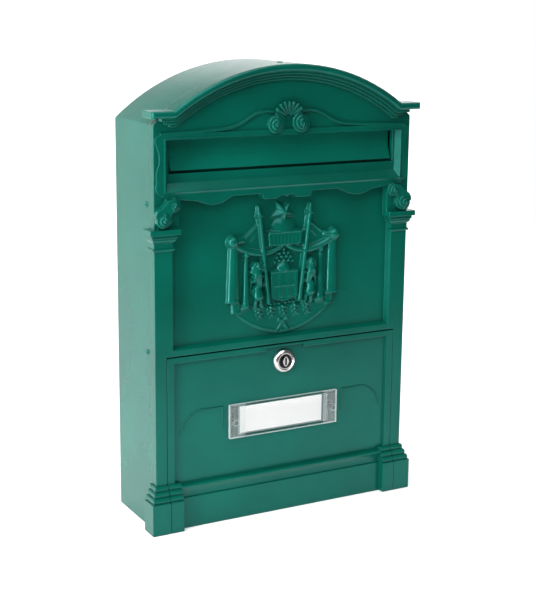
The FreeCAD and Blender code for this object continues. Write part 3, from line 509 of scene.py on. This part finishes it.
def draw_mantle(arms):
    """Cloth canopy: knobs, swags, hanging folds with their hems, and the two poles."""
    cloth = [(0, 88), (17, 91), (26, 100), (38, 91.5), (50, 91), (50, 85)]
    cloth += curve_points(50, 85, 36, 78.5, 22, 75.5) + curve_points(22, 75.5, 10, 77, 0, 83)
    arms.both_flat(cloth, 1.5)
    for hanging in ((49.2, 88, 4.7, 49.4, 34.6, 6.3, 4.3), (49.4, 37, 6.4, 49.4, 34.4, 6.6, 4.8),
                    (46.6, 36, 4.6, 46.2, 24.4, 4.3, 2.3), (46.3, 26.4, 4.5, 46.2, 24.2, 4.6, 2.8)):
        arms.both(arms.fold, *hanging)
    arms.both(arms.ball, 50.6, 88, 5.5, 1.7)
    for row, (rise, radius) in enumerate(((0.0, 2.7), (3.9, 1.2))):
        lift = 1.5 - 0.2 * row
        arms.both(arms.arc, 48, 84.6 + 0.5 * rise, 36, 78.4 + rise, 22, 75.4 + rise, radius, lift)
        arms.both(arms.arc, 22, 75.4 + rise, 10.5, 77.4 + rise, 0.4, 83 + 0.6 * rise,
                  0.85 * radius, lift + 0.1)
    for line in ((41, 88.4, 2.2, 48.6, 88.2, 3.6, 1.7), (46.6, 83, 0.6, 45.6, 38, 0.9, 2.7),
                 (51.8, 83, 0.5, 53.2, 38, 0.8, 2.6), (15.4, 31.5, 1.9, 24.9, 109.4, 1.9, 3.2),
                 (25, 110, 2.6, 25.9, 116.8, 0.9, 2.2), (22.8, 109.2, 0.9, 27.2, 108.8, 0.9, 4.4),
                 (26, 100.5, 0.8, 38, 91, 0.9, 1.3), (25.4, 94.5, 0.7, 32.4, 88.2, 0.8, 1.3)):
        arms.both(arms.limb, *line)


def draw_supporters(arms):
    """Standing beasts with their manes and tails, and the columns behind them."""
    arms.both(arms.ball, 37.1, 75.4, 2.6, 2.0)
    for part in ((37.1, 72.2, 2.0, 37.3, 30.5, 3.4, 0.8), (34.6, 28.4, 1.6, 40.2, 28, 1.6, 0.9),
                 (35.4, 71.2, 0.8, 38.8, 71, 0.8, 2.2), (33.9, 31.4, 0.8, 40.6, 31, 0.8, 2.6),
                 (27.4, 63.6, 3.4, 26.8, 59, 4.6, 2.0), (24.2, 63, 2.1, 21.8, 61.8, 1.4, 2.6),
                 (28.2, 66, 0.9, 28.8, 68, 0.6, 2.8), (25.8, 54.8, 4.0, 24.4, 47.4, 2.7, 2.2),
                 (24.8, 45.6, 2.6, 26.2, 39.4, 5.0, 1.4), (27.6, 36.6, 2.5, 28, 29.2, 1.7, 1.2),
                 (28, 28, 1.3, 25.2, 27.4, 1.1, 1.1), (23, 36, 2.3, 21.9, 29.4, 1.6, 1.0),
                 (21.9, 28.2, 1.2, 19.4, 27.6, 1.0, 1.0), (23, 55, 2.0, 19.4, 56.2, 1.5, 1.2),
                 (22.6, 48.8, 2.0, 18.6, 46.8, 1.5, 1.2), (30.2, 38.4, 1.2, 32.6, 45, 1.1, 0.5),
                 (32.7, 44.6, 1.0, 31.9, 51.2, 1.7, 0.5)):
        arms.both(arms.limb, *part)
    for x, z, radius in ((28.8, 67.4, 1.5), (31.4, 64, 1.7), (31.8, 59.8, 2.0), (30.6, 55.6, 2.0)):
        arms.both(arms.ball, x, z, radius, 1.4)
    for curl in range(12):
        angle = curl * math.pi / 6
        arms.both(arms.ball, 26.6 + 4.5 * math.cos(angle), 62.4 + 4.9 * math.sin(angle), 1.5, 3.0)
    for row in range(4):
        for lock in range(3):
            across = 24.6 + 2.4 * lock + 0.5 * (row % 2)
            arms.both(arms.ball, across, 57.2 - 1.9 * row, 1.3 - 0.08 * row, 5.2 - 0.4 * row)
    arms.both(arms.limb, 26.4, 64.6, 2.2, 26, 61.2, 1.5, 4.2)
    arms.both(arms.limb, 26.8, 45, 3.4, 25.8, 38.6, 5.0, 2.4)


def draw_crown(arms):
    """Star, dome, fluted band, pearls, helm and shield."""
    arms.star(-0.4, 110.6, 13.6, 6.8, 5.8)
    arms.swell(0, 94, 13.4, 5.2, 1.0)
    arms.flat([(-17, 91.6), (-16, 82.2), (16, 82.2), (17, 91.6), (15, 94.2), (-15, 94.2)], 4.6)
    arms.limb(-15.6, 93.4, 0.9, 15.6, 93.4, 0.9, 4.0)
    arms.limb(-15.6, 82.6, 0.8, 15.6, 82.6, 0.8, 4.0)
    for flute in range(-4, 5):
        arms.limb(3.55 * flute, 83.8, 1.45, 3.75 * flute, 90.6, 1.45, 3.3)
    for row, count in enumerate((1, 3, 4, 5)):
        for place in range(count):
            across = (place - (count - 1) / 2) * 4.6
            arms.ball(across, 77.8 - 3.3 * row - 0.015 * across ** 2, 1.6, 1.4)
    arms.swell(0, 60.6, 7.0, 4.6, 2.6)
    sides = curve_points(13, 36, 13.2, 47, 13.6, 59)
    foot = [(13, 36)] + curve_points(13, 36, 8, 33.6, 0, 31.6)
    outline = [(-x, z) for x, z in sides[::-1]] + [(-x, z) for x, z in foot] + foot[::-1][1:] + sides
    arms.flat(outline, 3.8)
    arms.both(arms.limb, 13, 58, 0.8, 12.6, 36.4, 0.8, 3.4)
    arms.both(arms.limb, 12.4, 36, 0.8, 0, 32.4, 0.8, 3.4)
    arms.limb(-13, 58.4, 0.8, 13, 58.4, 0.8, 3.4)
    arms.both(arms.limb, 10.9, 56, 1.3, 10.9, 37.5, 1.2, 3.0)
    arms.both_flat([(2.3, 35.5), (5.7, 35.5), (5.7, 57), (2.3, 57)], 4.1)
    arms.flat([(-10, 45.4), (10, 45.4), (10, 46.8), (-10, 46.8)], 4.1)


def draw_ground(arms):
    """Ground plate with its garland of beads and leaves and a small bow."""
    edge = [(-46.4, 23.2)] + curve_points(-46.4, 23.2, 0, 2.4, 46.4, 23.2, count=24)
    arms.flat([(-47.6, 27.4)] + edge + [(47.6, 27.4)], top=0.9, edge=0.8)
    arms.arc(-43, 21.6, 0, 5.4, 43, 21.6, 0.5, 0.75)
    for x in (-24, -12, 0, 12, 24):
        for drop in range(3):
            across = x + 0.7 * drop * (drop - 1)
            arms.ball(across, 26.4 - 3.4 * drop, 1.7 - 0.2 * drop, 1.2)
            arms.ball(across - 2.9 + 0.5 * drop, 25 - 3.4 * drop, 1.2 - 0.2 * drop, 1.3)
            arms.ball(across + 2.7 - 0.4 * drop, 25.7 - 3.4 * drop, 1.0 - 0.15 * drop, 1.4)
    for bead in range(9):
        arms.both(arms.ball, 3.2 + 4.2 * bead, 29.4 + 0.6 * (bead % 2), 1.0, 0.9)
    arms.both(arms.limb, 0, 13.6, 1.2, 4.0, 14.8, 1.6, 1.0)
    arms.both(arms.limb, 0.4, 12.6, 1.1, 4.8, 6.2, 1.4, 0.9)
    arms.ball(0, 13.2, 1.3, 1.6)


def new_object(name, places, faces, material, smooth=True):
    """Object with a mesh of the given places and faces, and its material."""
    mesh = bpy.data.meshes.new(name)
    mesh.from_pydata(places, [], faces)
    mesh.validate()
    if smooth:
        mesh.shade_smooth()
    mesh.materials.append(material)
    made = bpy.data.objects.new(name, mesh)
    bpy.context.scene.collection.objects.link(made)
    return made


def relief_skin():
    """Mesh of the relief's fine surface; its level part lies below the panel, so only the forms show."""
    arms = Relief()
    draw_ground(arms)
    draw_mantle(arms)
    draw_supporters(arms)
    draw_crown(arms)
    height = arms.settled()
    places = np.stack([arms.x * mm, panel_y - height * mm, panel_foot + arms.z * mm], axis=-1)
    rows, columns = arms.x.shape
    index = np.arange(rows * columns).reshape(rows, columns)
    corners = [index[:-1, :-1], index[:-1, 1:], index[1:, 1:], index[1:, :-1]]
    quads = np.stack(corners, axis=-1).reshape(-1, 4)
    level = height.reshape(-1)[quads].max(axis=1) < level_below
    faces = quads[~level].tolist()
    skin = new_object("relief_skin", places.reshape(-1, 3).tolist(), faces, relief_green)
    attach(skin, "box")


def letter_flap():
    """Flap of thin sheet: a curl round the rod, an upright plate and a lower face that kicks forward."""
    low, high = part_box("letter_flap")
    rod_y = (low.y + high.y) / 2
    rod_z = high.z - flap_curl_radius
    half = high.x - flap_end_gap
    inner = flap_curl_radius - flap_gauge
    back = rod_y + flap_curl_radius
    front = rod_y + inner
    crease = low.z + flap_crease_lift
    foot = low.z + flap_foot_lift
    angles = [flap_curl_turn * step / flap_curl_steps for step in range(flap_curl_steps + 1)]
    curl = []
    for radius, turns in ((flap_curl_radius, angles), (inner, angles[::-1])):
        curl += [(rod_y + radius * math.cos(turn), rod_z + radius * math.sin(turn)) for turn in turns]
    bend = []
    for share in (1.0, 0.5, 0.0, -0.5, -1.0):
        fall = flap_bend * (1 - share) ** 2 / 4
        bend.append((front - fall * flap_kick / (crease - foot), crease + share * flap_bend))
    lip = [(front - flap_kick, foot), (front - flap_kick + flap_gauge, foot)]
    profile = [(back, low.z)] + curl + bend + lip
    profile += [(front, crease - flap_pocket * (crease - foot)), (front, low.z)]
    count = len(profile)
    places = [(x, y, z) for x in (-half, half) for y, z in profile]
    faces = [(k, (k + 1) % count, count + (k + 1) % count, count + k) for k in range(count)]
    faces += [tuple(range(count))[::-1], tuple(range(count, 2 * count))]
    flap = new_object("flap_sheet", places, faces, flap_green, smooth=False)
    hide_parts("letter_flap")
    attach(flap, "flap")


def screw_mesh(seat, out, up):
    """Places and faces of one screw: its low head, deepest at the middle of the cross, and its shank."""
    side = up.cross(out)
    turns = [2 * math.pi * step / screw_sides for step in range(screw_sides)]
    places = []
    for ring in range(1, screw_rings + 1):
        share = ring / screw_rings
        for turn in turns:
            u = screw_dome_radius * share * math.cos(turn)
            v = screw_dome_radius * share * math.sin(turn)
            near, far = sorted((abs(u), abs(v)))
            arm = max(near / recess_half, far / recess_reach)
            within = min(max((1 + recess_wall - arm) / recess_wall, 0.0), 1.0)
            dip = recess_depth * within * (1 - recess_fade * min(far / recess_reach, 1))
            rise = screw_head_height * (1 - share ** screw_head_fullness) - dip
            places.append(seat + u * side + v * up + rise * out)
    for depth in (0.0, screw_shank_length):
        for turn in turns:
            around = math.cos(turn) * side + math.sin(turn) * up
            places.append(seat + screw_shank_radius * around - depth * out)
    faces = [tuple(range(screw_sides))]
    for ring in range(screw_rings + 1):
        start = ring * screw_sides
        for k in range(screw_sides):
            after = (k + 1) % screw_sides
            faces.append((start + k, start + screw_sides + k, start + screw_sides + after, start + after))
    last = (screw_rings + 1) * screw_sides
    faces.append(tuple(range(last + screw_sides - 1, last - 1, -1)))
    return places, faces


def housing_screws():
    """Five painted screws: two in each side of the sheet and one in the roof."""
    low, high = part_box("housing_screws")
    y = (low.y + high.y) / 2
    side_x = high.x - screw_dome_height
    on_sides = [vertex.co.z for vertex in nodes["housing_screws"].data.vertices if vertex.co.x > side_x]
    heights = (min(on_sides) + screw_dome_radius, max(on_sides) - screw_dome_radius)
    upright = Vector((0, 0, 1))
    seats = []
    for hand in (-1, 1):
        seats += [(Vector((hand * side_x, y, z)), Vector((hand, 0, 0)), upright) for z in heights]
    seats.append((Vector((0, y, high.z - screw_dome_height)), upright, Vector((0, 1, 0))))
    places = []
    faces = []
    for seat, out, up in seats:
        more_places, more_faces = screw_mesh(seat, out, up)
        faces += [tuple(len(places) + corner for corner in face) for face in more_faces]
        places += [tuple(place) for place in more_places]
    heads = new_object("screw_heads", places, faces, sheet_green)
    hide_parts("housing_screws")
    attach(heads, "box")


relief_skin()
letter_flap()
housing_screws()


def soft_light(name, place, aim, width, height, power):
    """Rectangular light, itself unseen; its sizes are in metres and its power in watts."""
    data = bpy.data.lights.new(name, "AREA")
    data.shape = "RECTANGLE"
    data.size = width
    data.size_y = height
    data.energy = power
    light = bpy.data.objects.new(name, data)
    light.location = place
    light.visible_camera = False
    light.rotation_euler = (Vector(aim) - Vector(place)).to_track_quat("-Z", "Y").to_euler()
    bpy.context.scene.collection.objects.link(light)


def sweep():
    """Pale floor that curves up into a backdrop."""
    profile = [(floor_front, 0.0, floor_half, floor_front_right), (floor_back, 0.0, floor_half, floor_half)]
    for step in range(1, sweep_steps + 1):
        angle = step * math.pi / (2 * sweep_steps)
        half = floor_half + (wall_half - floor_half) * math.sin(angle)
        rise = sweep_radius - sweep_radius * math.cos(angle)
        profile.append((floor_back + sweep_radius * math.sin(angle), rise, half, half))
    profile.append((floor_back + sweep_radius, wall_top, wall_half, wall_half))
    level = cad_low.z - floor_gap
    places = [(x, y, z + level) for y, z, left, right in profile for x in (-left, right)]
    faces = [(2 * k, 2 * k + 1, 2 * k + 3, 2 * k + 2) for k in range(len(profile) - 1)]
    floor = new_object("floor", places, faces, floor_paint("floor"))


def studio():
    """Soft lights above and on the left, a lit backdrop, and a dim surround that the camera sees as white."""
    middle = (0, -0.04, 0.02)
    soft_light("key", (-1.3, -1.1, 1.2), middle, width=0.7, height=0.8, power=10.0)
    soft_light("above", (-0.4, -1.05, 2.05), middle, width=2.2, height=2.2, power=40.0)
    soft_light("left", (-1.3, 0.3, 0.35), middle, width=0.8, height=1.0, power=3.0)
    soft_light("strip", (-0.78, -0.3, 0.15), (0, -0.2, 0.1), width=0.14, height=0.75, power=7.0)
    soft_light("backdrop", (1.5, 0.6, 2.6), (1.5, 2.7, 0.8), width=7.0, height=1.4, power=138.0)
    world = bpy.data.worlds.new("surround")
    world.use_nodes = True
    tree = world.node_tree
    dim = tree.nodes["Background"]
    dim.inputs["Color"].default_value = (1.0, 1.0, 1.0, 1.0)
    dim.inputs["Strength"].default_value = surround_strength
    white = tree.nodes.new("ShaderNodeBackground")
    white.inputs["Color"].default_value = (1.0, 1.0, 1.0, 1.0)
    either = tree.nodes.new("ShaderNodeMixShader")
    seen = tree.nodes.new("ShaderNodeLightPath")
    tree.links.new(seen.outputs["Is Camera Ray"], either.inputs["Fac"])
    tree.links.new(dim.outputs["Background"], either.inputs[1])
    tree.links.new(white.outputs["Background"], either.inputs[2])
    tree.links.new(either.outputs["Shader"], tree.nodes["World Output"].inputs["Surface"])
    bpy.context.scene.world = world
    bpy.context.scene.view_settings.view_transform = "Standard"


def photo_camera():
    """Camera at the place and angle of the photograph's."""
    ahead = math.cos(camera_pitch)
    forward = Vector((math.sin(camera_yaw) * ahead, math.cos(camera_yaw) * ahead, -math.sin(camera_pitch)))
    level = Vector((math.cos(camera_yaw), -math.sin(camera_yaw), 0))
    down = forward.cross(level)
    right = math.cos(camera_roll) * level + math.sin(camera_roll) * down
    up = math.sin(camera_roll) * level - math.cos(camera_roll) * down
    data = bpy.data.cameras.new("camera")
    data.sensor_fit = "VERTICAL"
    data.sensor_height = sensor_mm
    data.lens = camera_lens_mm
    camera = bpy.data.objects.new("camera", data)
    turn = Matrix((right, up, -forward)).transposed().to_4x4()
    camera.matrix_world = Matrix.Translation(camera_place) @ turn
    bpy.context.scene.collection.objects.link(camera)
    bpy.context.scene.camera = camera


sweep()
studio()
photo_camera()
